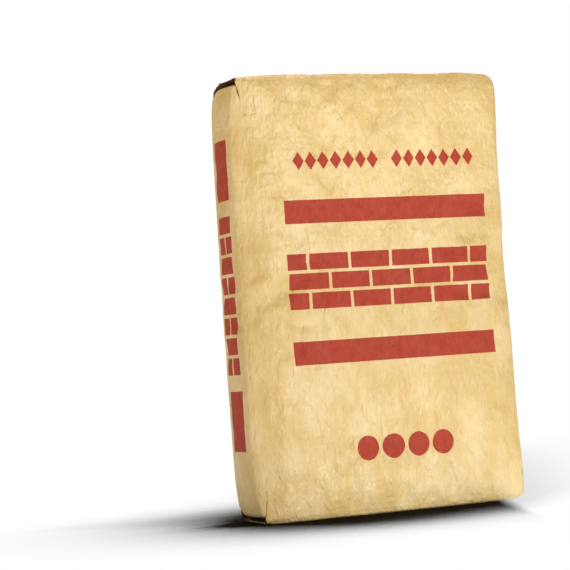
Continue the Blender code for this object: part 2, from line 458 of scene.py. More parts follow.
def point_normals(points, faces):
    """Unit normals at the points: the sum of the normals of the faces around each."""
    across = points[faces[:, 2]] - points[faces[:, 0]]
    along = points[faces[:, 3]] - points[faces[:, 1]]
    face_normal = np.cross(across, along)
    total = np.stack([
        sum(np.bincount(faces[:, k], face_normal[:, axis], len(points)) for k in range(4))
        for axis in range(3)
    ], axis=1)
    return total / np.maximum(np.linalg.norm(total, axis=1, keepdims=True), 1e-12)


level_square = np.array(((0.0, 0.0, 0.0), (1.0, 0.0, 0.0), (1.0, 1.0, 0.0), (0.0, 1.0, 0.0)))
print("The normal of a level square is", point_normals(level_square, np.array(((0, 1, 2, 3),)))[0])

# %% Cloth on a coarse copy
CLOTH_FRAMES = 20
PAPER_TOO_LONG = -0.012
STANDING_HEIGHT = 0.004


def simulate_paper(points, faces):
    """Run the cloth and return where its points end up."""
    cloth_object = new_object("paper_in_motion", points, faces)
    held = cloth_object.vertex_groups.new(name="standing_end")
    held.add(np.flatnonzero(points[:, 2] < STANDING_HEIGHT).tolist(), 1.0, "REPLACE")
    cloth = cloth_object.modifiers.new("Paper", "CLOTH").settings
    cloth.quality = 5
    cloth.mass = 0.25
    cloth.tension_stiffness = 30
    cloth.compression_stiffness = 30
    cloth.shear_stiffness = 20
    cloth.bending_stiffness = 6
    cloth.use_pressure = True
    cloth.uniform_pressure_force = 4
    cloth.shrink_min = PAPER_TOO_LONG
    cloth.vertex_group_mass = held.name
    cloth.effector_weights.gravity = 0
    scene = bpy.context.scene
    scene.frame_start, scene.frame_end = 1, CLOTH_FRAMES
    for number in range(1, CLOTH_FRAMES + 1):
        scene.frame_set(number)
    result = mesh_points(cloth_object.evaluated_get(bpy.context.evaluated_depsgraph_get()).to_mesh())
    bpy.data.objects.remove(cloth_object)
    scene.frame_set(1)
    return result


print("The cloth will run for", CLOTH_FRAMES, "frames")

# %% Short dents for the fine grid
COARSE_STEP = 0.0068
CLOTH_CAP = 0.0020
BROAD = 0.022
# Share of the dents that the side panels and ends get, and where the wide panels' full share begins
NARROW_SHARE = 0.4
PANEL_EDGE = 0.012


def resample(values, old, new):
    """Smooth curve through values at the old places, read off at the new ones (cubic Hermite)."""
    slope = np.gradient(values, old, axis=0)
    cell = np.clip(np.searchsorted(old, new, side="right") - 1, 0, len(old) - 2)
    width = (old[cell + 1] - old[cell])[:, None, None]
    t = ((new - old[cell])[:, None, None]) / width
    return ((1 + 2 * t) * (1 - t) ** 2 * values[cell] + t * (1 - t) ** 2 * width * slope[cell]
            + t * t * (3 - 2 * t) * values[cell + 1] + t * t * (t - 1) * width * slope[cell + 1])


def broad_part(points, field):
    """The slow part of a field: its mean over all points, weighted by exp(-(distance / BROAD) squared)."""
    places = (points / BROAD).astype(np.float32)
    length = (places**2).sum(1)
    columns = np.column_stack((field, np.ones(len(field)))).astype(np.float32)
    total = np.concatenate([
        np.exp(2 * places[part] @ places.T - length[part, None] - length) @ columns
        for part in np.array_split(np.arange(len(points)), 8)
    ])
    return total[:, :3] / total[:, 3:]


def wide_panel(points):
    """1 on the front and back panels, and an S curve down to 0 within a few millimetres of them."""
    return smooth_step(np.abs(points[:, 1]), HALF[1] - PANEL_EDGE, HALF[1])


def largest(rows):
    """The length of each row, with its largest and its mean printed in millimetres."""
    length = np.linalg.norm(rows, axis=1, keepdims=True)
    print("Moved by up to", round(1000 * length.max(), 1), "mm, on average", round(1000 * length.mean(), 2))
    return length


def cloth_shift():
    """Shift of each fine point: the coarse cloth's shift, carried over side by side."""
    coarse_lines = bag_lines(COARSE_STEP)
    coarse_box, coarse_sides = box_skin(coarse_lines)
    faces = [grid_quads(grid, name in TURNED_SIDES).reshape(-1, 4) for name, grid in coarse_sides.items()]
    faces = np.concatenate(faces)
    start = bag_surface(coarse_box)
    moved = simulate_paper(start, faces) - start
    largest(moved)
    moved -= broad_part(start, moved)
    outwards = point_normals(start, faces)
    moved = outwards * (moved * outwards).sum(1, keepdims=True)
    moved *= np.minimum(1, CLOTH_CAP / np.maximum(largest(moved), 1e-9))
    shift = np.zeros_like(box)
    for name, (first, second) in SIDE_AXES.items():
        grid = resample(moved[coarse_sides[name]], coarse_lines[first], lines[first])
        grid = resample(grid.swapaxes(0, 1), coarse_lines[second], lines[second])
        shift[sides[name]] = grid.swapaxes(0, 1)
    return shift


shift = cloth_shift()
shift *= (NARROW_SHARE + (1 - NARROW_SHARE) * wide_panel(box))[:, None]
print("Shift passed on to", len(shift), "points")

# %% [markdown]
# ## Slits at the four ends of the side panels
# Each side panel ends in a rounded tongue that is pushed in under the folded end of the sack. A slit
# shaped like a C runs round the tongue, wide open across the end and closing along two arms. It could
# be cut with a Boolean, but that leaves ragged faces. Here the points along the slit are doubled: the
# tongue keeps one set and the flap the other, so that the two can be moved apart.

# %% Double the points along the slits
# For each slit: the radii of the tongue's front and back corner, how far the tongue has dropped, how
# far the flap's edge rises, and how far the wall beside the front arm leans in
SLITS = {
    ("left", 1): (0.007, 0.042, 0.0010, 0.0065, 0.0060),
    ("left", -1): (0.007, 0.040, -0.0010, 0.0070, 0.0040),
    ("right", 1): (0.016, 0.024, 0.0035, 0.0035, 0.0030),
    ("right", -1): (0.020, 0.026, 0.0025, 0.0045, 0.0030),
}


def line_at(direction, place):
    """Number of the line at a place."""
    return int(np.argmin(np.abs(lines[direction] - place)))


slit_paths = {}
on_tongue = np.zeros(len(box), bool)
parent = np.arange(len(box))
for side, end in SLITS:
    grid = sides[side]
    first, last = line_at(1, -SLIT_SPAN), line_at(1, SLIT_SPAN)
    rim = line_at(2, end * (HALF[2] - SLIT_DROP))
    foot = line_at(2, end * (HALF[2] - SLIT_ARM_END))
    arm = np.arange(foot, rim, end)
    path = np.concatenate((grid[first, arm], grid[first:last + 1, rim], grid[last, arm[::-1]]))
    copies = len(parent) + np.arange(len(path) - 2)
    parent = np.concatenate((parent, path[1:-1]))
    low, high = sorted((rim, foot))
    renumber = np.arange(len(parent))
    renumber[path[1:-1]] = copies
    quads[side][first:last, low:high] = renumber[quads[side][first:last, low:high]]
    slit_paths[side, end] = (path, np.concatenate((path[:1], copies, path[-1:])))
    on_tongue = np.concatenate((on_tongue, np.ones(len(copies), bool)))
    on_tongue[np.setdiff1d(grid[first + 1:last, low:high + 1], path)] = True
box = box[parent]
shift = shift[parent]
flat_box = box.copy()
points_along = sum(len(paths[0]) for paths in slit_paths.values())
print("Slits cut:", len(slit_paths), "with", points_along, "points along them")

# %% [markdown]
# ## Opening the slits
# The square corners of each tongue are pressed round and its rim drops a little. The flap's edge rises
# over it, and the wall beside each arm leans in over the tongue, as paper does that has been folded
# and let go. All of this could be done on the finished bag, but it is simpler on the flat panels of the
# plain box, and the bag's own form is laid over it afterwards.

# %% Round the tongues and lean the flaps
TONGUE_EASE = 0.030
TONGUE_TUCK = 0.0026
TUCK_REACH = 0.005
ARM_FADE_START = 0.018
FLAP_EASE = 0.022
LEAN_REACH = 0.022
LEAN_START = -0.030
BACK_LEAN_SHARE = 0.4


def tongue_outline(y, depth, radius):
    """Press the square corner of the tongue onto a quarter circle (y across, depth below the end).

    In units of the radius, (a, b) goes to (a * sqrt(1 - b*b/2), b * sqrt(1 - a*a/2)).
    """
    a = (np.abs(y) - (SLIT_SPAN - radius)) / radius
    b = (SLIT_DROP + radius - depth) / radius
    inside = (a > 0) & (b > 0)
    a, b = np.clip(a, 0, 1), np.clip(b, 0, 1)
    new_y = np.sign(y) * (SLIT_SPAN - radius + radius * a * np.sqrt(1 - b * b / 2))
    new_depth = SLIT_DROP + radius - radius * b * np.sqrt(1 - a * a / 2)
    return np.where(inside, new_y, y), np.where(inside, new_depth, depth)


def beside_rim(depth, ease):
    """Rises evenly from 0 at the bag's end to 1 at the rim's depth, then eases back to 0 below it."""
    below = 1 - smooth_step(depth, SLIT_DROP, SLIT_DROP + ease)
    return np.where(depth < SLIT_DROP, depth / SLIT_DROP, below)


depth = HALF[2] - np.abs(box[:, 2])
arm_fade = 1 - smooth_step(depth, ARM_FADE_START, SLIT_ARM_END)
on_side = np.abs(box[:, 0]) > HALF[0] - 1e-6
on_wall = (on_side | (np.abs(box[:, 1]) > HALF[1] - 1e-6)) & (depth < SLIT_DROP + LEAN_REACH)
on_wall &= np.abs(box[:, 0]) > HALF[0] - 2 * LEAN_REACH
for (side, end), (front_radius, back_radius, drop, rise, lean_in) in SLITS.items():
    outwards = -1 if side == "left" else 1
    at_end = (np.sign(flat_box[:, 0]) == outwards) & (np.sign(flat_box[:, 2]) == end)
    tongue = on_side & at_end & on_tongue
    y, down = box[tongue, 1], depth[tongue]
    for sign, radius in ((-1, front_radius), (1, back_radius)):
        part = np.sign(y) == sign
        y[part], down[part] = tongue_outline(y[part], down[part], radius)
    down += drop * (1 - smooth_step(depth[tongue], SLIT_DROP, SLIT_DROP + TONGUE_EASE))
    tuck = np.exp(-(SLIT_SPAN - np.abs(flat_box[tongue, 1])) / TUCK_REACH) * arm_fade[tongue]
    box[tongue, 1] = y + np.sign(y) * TONGUE_TUCK * tuck
    box[tongue, 2] = end * (HALF[2] - down)
    flap = on_side & at_end & ~on_tongue
    across = np.clip((HALF[1] - np.abs(box[flap, 1])) / (HALF[1] - SLIT_SPAN), 0, 1)
    box[flap, 2] = end * (HALF[2] - depth[flap] + rise * beside_rim(depth[flap], FLAP_EASE) * across)
    wall = on_wall & at_end & ~on_tongue
    y = flat_box[wall, 1]
    past_arm = np.abs(y) - SLIT_SPAN + HALF[0] - np.abs(flat_box[wall, 0])
    fade_out = 1 - smooth_step(past_arm, 0, LEAN_REACH)
    lean = np.where(past_arm > 0, fade_out, smooth_step(past_arm, LEAN_START, 0))
    lean *= beside_rim(depth[wall], LEAN_REACH)
    past_arm -= lean * np.where(y < 0, lean_in, BACK_LEAN_SHARE * lean_in)
    box[wall, 1] = np.sign(y) * np.minimum(SLIT_SPAN + past_arm, HALF[1])
    box[wall, 0] = outwards * (HALF[0] - np.maximum(past_arm - (HALF[1] - SLIT_SPAN), 0))
print("The arms of the slits end", round(1000 * SLIT_ARM_END), "mm below the bag's ends")

# %% [markdown]
# ## Tongues and flaps
# The rim of each tongue rolls inwards and dives under the flap. Along the arms the flap lies on the
# tongue with one paper thickness between them, and the flap's free corner at the front left stands up a
# little. Both are moved along the normals of the bag's surface, so they follow its swelling.

# %% Roll the tongues and lift the flaps
TONGUE_ROLL = 0.0045
OPEN_FADE = (0.002, 0.022)
ARM_STEP = 0.0004
ARM_STEP_REACH = 0.010
FLAP_REACH = 0.010
FLAP_LIFT = 0.0003
FLAP_CORNER_LIFT = 0.0019
FLAP_CORNER_DOWN = (-0.002, 0.014)
FLAP_CORNER_ACROSS = (0.015, 0.045)
FLAP_TIP = 0.0035
FLAP_TIP_PLACE = 0.010
FLAP_TIP_HALF_WIDTH = 0.005

skin_faces = np.concatenate([q.reshape(-1, 4) for q in quads.values()])
skin = bag_surface(box) + shift
normals = point_normals(skin, skin_faces)
rim_edge = depth - SLIT_DROP
tongue_edge = np.minimum(SLIT_SPAN - np.abs(flat_box[:, 1]), rim_edge)
open_share = 1 - smooth_step(rim_edge, *OPEN_FADE)
at_left, at_front = flat_box[:, 0] < 0, flat_box[:, 1] < 0
roll = np.clip(1 - np.where(at_front, rim_edge, tongue_edge) / TONGUE_ROLL, 0, 1)
inward = TONGUE_ROLL * (1 - np.sqrt(1 - roll**2)) * open_share
stepped = arm_fade * np.where(at_front, 1, 1 - open_share)
inward += ARM_STEP * np.exp(-(np.maximum(tongue_edge, 0) / ARM_STEP_REACH) ** 2) * stepped
flap_edge = np.maximum(HALF[0] - np.abs(flat_box[:, 0]) - tongue_edge, 0)
near_flap = np.clip(1 - flap_edge / FLAP_REACH, 0, 1)
outward = FLAP_LIFT * near_flap**2 * (3 - 2 * near_flap) * arm_fade
free_corner = 1 - smooth_step(rim_edge, *FLAP_CORNER_DOWN)
free_corner *= smooth_step(-flat_box[:, 1], *FLAP_CORNER_ACROSS) * at_left
outward += FLAP_CORNER_LIFT * near_flap * free_corner
skin += normals * np.where(on_tongue, -inward, outward)[:, None]
tip = np.exp(-((flat_box[:, 1] - FLAP_TIP_PLACE) / FLAP_TIP_HALF_WIDTH) ** 2) * near_flap**2
tip *= ~on_tongue & on_side & at_left & (flat_box[:, 2] > 0) & (depth < 2 * SLIT_DROP)
skin[:, 0] -= FLAP_TIP * tip
print("Tongues roll in by up to", round(1000 * inward[on_tongue].max(), 1), "mm")

# %% [markdown]
# ## Pockets behind the slits
# Behind each rim is a dark pocket, and the edges of the inner plies show in it as ragged steps. A hole
# would show the empty inside of the mesh. So the pocket is a ribbon of faces from the flap's edge, in
# under it, and back out to the tongue, and the skin stays closed.

# %% Rows of a pocket
PLY = 0.0006
FRONT_PLY_SHARE = 0.30
PLY_FADE = (-0.020, 0.040)
POCKET_DEPTH = 0.017
ARM_POCKET_DEPTH = 0.0035
RAGGED = 0.0012
LIP_DEPTH = 0.0020
LIP_DROP = 0.0012
# Share of the way to the tongue that a step may take, and that the pocket's back wall starts at
MOST_OF_ROOM = 0.8
BACK_WALL = 0.6
# Steps of the pocket from the flap's edge inwards: share of the pocket's depth, distance below the
# flap in plies, and how ragged; the uneven steps are the edges of the inner plies
POCKET_STEPS = (
    (0.00, 1.2, 0.0), (0.22, 1.5, 0.0), (0.20, 3.0, 0.0), (0.06, 3.2, 1.0), (0.07, 4.2, 1.0),
    (0.30, 4.5, 0.0), (0.28, 6.2, 0.0), (0.12, 6.4, 1.6), (0.13, 7.3, 1.6), (0.60, 7.6, 0.0),
)


def soft_noise(count, spacing, seed):
    """Random values along a line, smoothed over a few points, about -1 to 1."""
    draw = np.random.default_rng(seed).normal(size=count + 2 * spacing)
    window = np.hanning(2 * spacing + 1)
    return np.convolve(draw, window / np.sqrt((window**2).sum()), "valid")[:count]


def inward_directions(flap_ids):
    """Unit directions into the bag along the flap's edge: the normals, averaged over fifteen points."""
    window = np.hanning(15) / np.hanning(15).sum()
    padded = np.pad(-normals[flap_ids], ((7, 7), (0, 0)), mode="edge")
    mean = np.stack([np.convolve(padded[:, axis], window, "valid") for axis in range(3)], axis=1)
    return mean / np.linalg.norm(mean, axis=1, keepdims=True)


def pocket_ribbon(flap_ids, tongue_ids, side, seed):
    """Rows of new points from the flap's edge to the tongue's rim.

    Each row is the flap's edge moved sideways under the flap, and down towards the tongue; the last rows
    lie behind the tongue's rim. All of it shrinks to nothing at the ends of the arms.
    """
    inwards = np.array((1.0 if side == "left" else -1.0, 0, 0))
    towards = inward_directions(flap_ids)
    flap, tongue = skin[flap_ids], skin[tongue_ids]
    fade, wide = arm_fade[flap_ids, None], open_share[flap_ids, None]
    back = smooth_step(flat_box[flap_ids, 1:2], *PLY_FADE)
    reach = ARM_POCKET_DEPTH * fade + POCKET_DEPTH * wide * fade
    plies = PLY * fade * (FRONT_PLY_SHARE + (1 - FRONT_PLY_SHARE) * back)
    room = np.einsum("ij,ij->i", tongue - flap, towards)[:, None]
    most = np.maximum(room * MOST_OF_ROOM, plies)
    rows = []
    for row, (share, below, ragged) in enumerate(POCKET_STEPS):
        uneven = ragged * RAGGED * soft_noise(len(flap_ids), 5, seed + row // 2)[:, None] * fade
        drop = plies * below * np.clip(wide + (0.25 if row else 1.0), 0, 1)
        rows.append(flap + inwards * (share * reach + uneven) + towards * np.minimum(drop, most))
    rows.append(flap + (tongue - flap) * BACK_WALL + inwards * reach)
    rows.append(tongue + inwards * (reach * 0.8) - towards * plies * 0.5)
    rows.append(tongue + inwards * LIP_DEPTH * fade - towards * LIP_DROP * wide * fade)
    return rows


print("A pocket has", len(POCKET_STEPS) + 3, "rows of points and is", 1000 * POCKET_DEPTH, "mm deep")

# %% Stitch the pockets to the skin
ribbon_points, ribbon_faces, ribbon_corners = [], [], []
start = len(skin)
for index, ((side, end), (flap_ids, tongue_ids)) in enumerate(slit_paths.items()):
    rows = pocket_ribbon(flap_ids, tongue_ids, side, seed=100 * index + 7)
    inner_count = len(flap_ids) - 2
    grid = np.empty((len(rows) + 2, len(flap_ids)), int)
    grid[0], grid[-1] = flap_ids, tongue_ids
    grid[1:-1, 1:-1] = start + np.arange(len(rows) * inner_count).reshape(len(rows), inner_count)
    start += len(rows) * inner_count
    turned = (side == "left") != (end == 1)
    ribbon_points += [row[1:-1] for row in rows]
    ribbon_faces.append(grid_quads(grid[:, 1:-1], turned).reshape(-1, 4))
    for tip, column, backwards in (
        (flap_ids[0], grid[:, 1], turned), (flap_ids[-1], grid[:, -2], not turned),
    ):
        fan = np.stack((column[:-1], np.full(len(column) - 1, tip), column[1:]), axis=1)
        ribbon_corners.append(fan if backwards else fan[:, ::-1])
ribbon_points = np.concatenate(ribbon_points)
ribbon_faces = np.concatenate(ribbon_faces)
ribbon_corners = np.concatenate(ribbon_corners)
print("Pocket ribbons:", len(ribbon_faces), "faces with four corners,", len(ribbon_corners), "with three")

# %% [markdown]
# ## Crushed paper
# Paper that has been packed, dropped and stacked is covered with shallow facets and creases. A noise
# texture gives soft lumps only. Here the skin is divided into cells round random seeds, and each cell
# is a plane with a tilt of its own. A point takes mostly the plane of its nearest seed and a little of
# the next ones, so neighbouring planes meet in a fold and not in a step. Three sizes of cells are used,
# all stretched upwards, because the load runs down the bag. The sum is kept under a few millimetres.

# %% Facets as real relief
# Size of the cells, and the slope of their planes
FACETS = ((0.034, 0.080), (0.019, 0.120), (0.010, 0.120))
FOLD_SHARPNESS = 6.0
WIDEST_TILT = 1.4
UPWARD_STRETCH = 1.7
SKIN_AREA = 0.61
LARGEST_TABLE = 20_000_000
# Cells are bent by half their size, and their slopes vary in patches of seven centimetres
BEND = 0.5
BEND_SIZE = 0.7
PATCH_SIZE = 0.07
PATCH_STRENGTH = (0.30, 0.85)
BEND_SEED, FACET_SEED, PATCH_SEED = 40, 60, 90


def facet_relief(points, size, slope, seed):
    """Height of facets: every cell is a plane with a tilt of its own.

    A point takes the mean of the planes of all cells, each weighted by exp(-sharpness * distance in
    cell sizes), so that it follows its own cell and bends over into the next one.
    """
    squeeze = np.array((1.0, 1.0, 1 / UPWARD_STRETCH))
    places = (points * squeeze / size).astype(np.float32)
    draw = np.random.default_rng(seed)
    count = int(SKIN_AREA / (size**2 * UPWARD_STRETCH))
    seeds = places[draw.choice(len(points), count, replace=False)]
    tilt = draw.uniform(-WIDEST_TILT, WIDEST_TILT, size=seeds.shape).astype(np.float32)
    columns = np.column_stack((tilt, (tilt * seeds).sum(1), np.ones(len(seeds)))).astype(np.float32)
    length = (seeds**2).sum(1)
    height = np.empty(len(points))
    for part in np.array_split(np.arange(len(points)), 1 + len(points) * len(seeds) // LARGEST_TABLE):
        here = places[part]
        away = np.sqrt(np.maximum((here**2).sum(1)[:, None] + length - 2 * here @ seeds.T, 0))
        away -= away.min(1, keepdims=True)
        total = np.exp(-FOLD_SHARPNESS * away) @ columns
        height[part] = ((total[:, :3] * here).sum(1) - total[:, 3]) / total[:, 4]
    return slope * size * height


def patchy(points, size, seed):
    """Smooth random field from 0 to 1: a sum of nine waves in random directions, pressed by an S curve."""
    draw = np.random.default_rng(seed)
    direction = draw.normal(size=(9, 3)) / size
    phase = draw.uniform(0, 2 * np.pi, 9)
    waves = np.sin(points @ direction.T + phase).sum(1) / 3.0
    return 1 / (1 + np.exp(-2.2 * waves))


relief = np.zeros(len(skin))
for number, (size, slope) in enumerate(FACETS):
    bend = [patchy(skin, size * BEND_SIZE, BEND_SEED + number * 3 + axis) - 0.5 for axis in range(3)]
    bent = skin + BEND * size * np.stack(bend, axis=1)
    strength = PATCH_STRENGTH[0] + PATCH_STRENGTH[1] * patchy(skin, PATCH_SIZE, PATCH_SEED + number)
    relief += strength * facet_relief(bent, size, slope, FACET_SEED + number)
print("Facets alone: from", round(1000 * relief.min(), 2), "to", round(1000 * relief.max(), 2), "mm")

# %% [markdown]
# ## Where the paper stays smooth
# The folded edges are pulled tight, and the side panels, the ends and the foot on the floor hardly
# crease. So the relief is faded there. A mask could be painted, but distances to the edges of the plain
# box say the same and follow every change of size.

# %% Fade the relief and apply it
EDGE_FADE = (0.004, 0.034)
EDGE_SHARE = 0.15
END_SHARE = 0.2
SIDE_SHARE = 0.35
RIM_FADE = 0.012
FLAP_CALM = 0.6
FOOT_FADE = 0.012
RELIEF_CAP = 0.0024
in_panel = np.sort(HALF - np.abs(flat_box), axis=1)[:, 1]
relief *= EDGE_SHARE + (1 - EDGE_SHARE) * smooth_step(in_panel, *EDGE_FADE)
on_end = np.abs(flat_box[:, 2]) > HALF[2] - 1e-6
relief *= np.where(on_end, END_SHARE, SIDE_SHARE + (1 - SIDE_SHARE) * wide_panel(flat_box))
relief *= np.where(on_tongue, smooth_step(tongue_edge, 0.0, RIM_FADE), 1)
relief *= 1 - FLAP_CALM * near_flap * arm_fade
relief = RELIEF_CAP * np.tanh(relief / RELIEF_CAP) * smooth_step(skin[:, 2], 0.0, FOOT_FADE)
normals = point_normals(skin, skin_faces)
skin += normals * relief[:, None]
print("Relief kept: from", round(1000 * relief.min(), 2), "to", round(1000 * relief.max(), 2), "mm")

# %% [markdown]
# ## The sack as one closed piece
# The skin and the pocket ribbons become one mesh. Each face corner also keeps its place on its own
# panel, in metres, as a UV map. The middle of the front panel lies at 0 on it, that of the back at 1,
# of the left side at 2, of the right side at 3, of the bottom at 4 and of the top at 5, and the pockets
# lie at 6. The printing plates use that map, so the ink follows the folds. The points along the slits
# are marked too, where the paper is painted darker as the shade in the gaps.

# %% Mesh and panel map
PANEL_ORDER = ("front", "back", "left", "right", "bottom", "top", "pocket")
SHARP_FOLD = math.radians(55)
# The bottom strip: half of its length and width, its middle across, and how far it lifts the paper
STRIP_BED = (0.1625, 0.0145)
STRIP_BED_MIDDLE = 0.010
STRIP_BED_EASE = 0.0025
STRIP_BED_LIFT = 0.0016


def panel_places(name, faces):
    """Place on the panel of each face corner, in metres, with a whole number for each panel."""
    x, y, height = smooth_form[faces].reshape(-1, 3).T
    across, up = {
        "front": (x, height), "back": (-x, height), "left": (y, height),
        "right": (-y, height), "bottom": (x, y), "top": (x, y),
    }[name]
    return np.stack((across + PANEL_ORDER.index(name), up), axis=1)


smooth_form = bag_surface(flat_box)
under_strip = smooth_step(STRIP_BED[0] - np.abs(skin[:, 0]), 0, STRIP_BED_EASE)
under_strip *= smooth_step(STRIP_BED[1] - np.abs(skin[:, 1] - STRIP_BED_MIDDLE), 0, STRIP_BED_EASE)
skin[:, 2] = np.maximum(skin[:, 2], STRIP_BED_LIFT * under_strip)
sack_points = np.concatenate((skin, ribbon_points))
sack = new_object("kraft_paper_sack", sack_points, skin_faces, ribbon_faces, ribbon_corners)
places = [panel_places(name, q.reshape(-1, 4)) for name, q in quads.items()]
places.append(np.full((ribbon_faces.size + ribbon_corners.size, 2), PANEL_ORDER.index("pocket")))
panel_map = sack.data.uv_layers.new(name="panel_metres")
panel_map.data.foreach_set("uv", np.concatenate(places).ravel())
# Points along the slits, where the paper's colour gets a painted shade
slit_line = np.zeros(len(sack_points))
for flap_ids, tongue_ids in slit_paths.values():
    slit_line[flap_ids] = slit_line[tongue_ids] = 1
sack.data.attributes.new("slit_line", "FLOAT", "POINT").data.foreach_set("value", slit_line)
# The pocket faces take the second material, a dark inner ply that is painted shade
material_numbers = np.zeros(len(sack.data.polygons), int)
material_numbers[len(skin_faces):] = 1
sack.data.polygons.foreach_set("material_index", material_numbers)
sack.data.shade_smooth()
sack.data.set_sharp_from_angle(angle=SHARP_FOLD)
print("Sack mesh:", len(sack.data.vertices), "points and", len(sack.data.polygons), "faces")

# %% [markdown]
# ## Closing strips and powder
# A strip of thicker paper is glued along each end over the join of the two flaps. A plain box would cut
# into the dents of the end. So the top strip is made from the same grid lines as the end under it,
# lifted by a hair, and the bottom one, which stands on the floor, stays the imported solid. The powder
# inside is a plainer, rounder copy of the bag that stays clear of the paper and of the pockets.

# %% Strips and powder
STRIP_THICKNESS = 0.0012
STRIP_GAP = 0.00025
POWDER_STEP = 0.012
POWDER_INSET = 0.0085
POWDER_ROUNDING = np.array((0.040, 0.022, 0.030))


def shell_between(name, low, high):
    """Closed band between two grids of points of the same shape, the high one facing up."""
    rows, columns = low.shape[:2]
    number = np.arange(rows * columns).reshape(rows, columns)
    upper = number + rows * columns
    faces = [grid_quads(upper, False), grid_quads(number, True)]
    rim = np.concatenate((number[:, 0], number[-1, 1:], number[-2::-1, -1], number[0, -2:0:-1]))
    wall = np.stack((rim, np.roll(rim, -1)))
    faces.append(np.stack((wall[0], wall[1], wall[1] + rows * columns, wall[0] + rows * columns), axis=1))
    points = np.concatenate((low.reshape(-1, 3), high.reshape(-1, 3)))
    return new_object(name, points, *[f.reshape(-1, 4) for f in faces])


first_x, last_x = line_at(0, -STRIP_HALF_LENGTH), line_at(0, STRIP_HALF_LENGTH)
first_y, last_y = line_at(1, STRIP_FRONT), line_at(1, STRIP_BACK)
strip_bottom = skin[sides["top"][first_x:last_x + 1, first_y:last_y + 1]] + (0, 0, STRIP_GAP)
strip_top = shell_between("top_closing_strip_paper", strip_bottom, strip_bottom + (0, 0, STRIP_THICKNESS))
print("Top strip:", len(strip_top.data.polygons), "faces")

powder_box, powder_sides = box_skin(bag_lines(POWDER_STEP))
powder_points = bag_surface(powder_box, POWDER_INSET, POWDER_ROUNDING)
powder_faces = [
    grid_quads(grid, name in TURNED_SIDES).reshape(-1, 4) for name, grid in powder_sides.items()
]
powder = new_object("packed_cement_powder", powder_points, *powder_faces)
powder.data.shade_smooth()
print("Powder:", len(powder.data.polygons), "faces")

# %% [markdown]
# ## Printing plates
# Two red bars cross the front panel, and two more stand on each side panel. Between them the plates
# carry plain building shapes: a band of brickwork, a row of lozenges and a row of discs. A texture
# image could hold them. Here each shape is a test on the panel map, so it stays sharp at any distance.
# The edges waver by a fraction of a millimetre, as printed edges on paper do.

# %% Places of the print
# Places on a panel in metres: left and right, low and high; the discs' row has one height
BARS_ACROSS = (-0.1275, 0.1495)
BARS_UP = ((0.3620, 0.3910), (0.1890, 0.2177))
BRICK_BAND = (-0.1290, 0.1480, 0.2550, 0.3270)
LOZENGE_ROW = (-0.1135, 0.1370, 0.4275, 0.4503)
DISC_ROW = (-0.0565, 0.0820, 0.0825)
SIDE_BARS_ACROSS = (-0.0170, 0.0225)
SIDE_BARS_UP = ((0.3975, 0.4720), (0.0890, 0.1630))
SIDE_BRICK_BAND = (-0.0170, 0.0255, 0.1810, 0.3800)
LOZENGES = 15
LOZENGE_WIDTH = 0.92
DISCS = 4
DISC_RADIUS = 0.0152
# Length and height of a brick, and half of the joint between two, in millimetres
BRICK_MM = (55.4, 24.0)
SIDE_BRICK_MM = (42.5, 24.875)
HALF_JOINT_MM = 2.0
INK_WAVER = 0.0005
WAVER_MM = 2.0
WIDE_PANELS = (-0.5, 1.5)
SIDE_PANELS = (1.5, 3.5)
FRONT_PANEL = (-0.5, 0.5)
print("The bars of the front are", round(1000 * (BARS_ACROSS[1] - BARS_ACROSS[0])), "mm long")


# %% Rectangles and bricks
def millimetres(size):
    """Scale of a texture whose features are so many millimetres wide."""
    return 1000.0 / size


def inside(tree, *tests):
    """1 where every value lies between its two limits, 0 elsewhere."""
    result = 1.0
    for value, low, high in tests:
        hit = add(tree, "Math", (value, (low + high) / 2, (high - low) / 2), operation="COMPARE")
        result = add(tree, "Math", (result, hit), operation="MULTIPLY")
    return result


def brickwork(tree, across, up, limits, brick_mm):
    """Bricks in running bond inside a rectangle, which starts with a full brick at its lower left."""
    left, right, low, high = limits
    from_left = add(tree, "Math", (across, left), operation="SUBTRACT")
    from_low = add(tree, "Math", (up, low), operation="SUBTRACT")
    joints = add(tree, "TexBrick", {
        "Vector": add(tree, "CombineXYZ", (from_left, from_low)), "Scale": millimetres(1.0),
        "Mortar Size": HALF_JOINT_MM, "Mortar Smooth": 0.0,
        "Brick Width": brick_mm[0], "Row Height": brick_mm[1],
    }, out="Fac", offset=0.5, offset_frequency=2)
    bricks = add(tree, "Math", (1.0, joints), operation="SUBTRACT")
    band = inside(tree, (across, left, right), (up, low, high))
    return add(tree, "Math", (bricks, band), operation="MULTIPLY")


course = 1000 * (BRICK_BAND[1] - BRICK_BAND[0])
print("A course of the front is", round(course / BRICK_MM[0], 1), "bricks long")


# %% Lozenges and discs
def off_middle(tree, across, left, right, count):
    """Distance across to the middle of the nearest of so many equal places in a row."""
    half_pitch = (right - left) / count / 2
    from_left = add(tree, "Math", (across, left), operation="SUBTRACT")
    off_join = add(tree, "Math", (from_left, half_pitch), operation="PINGPONG")
    return add(tree, "Math", (half_pitch, off_join), operation="SUBTRACT")


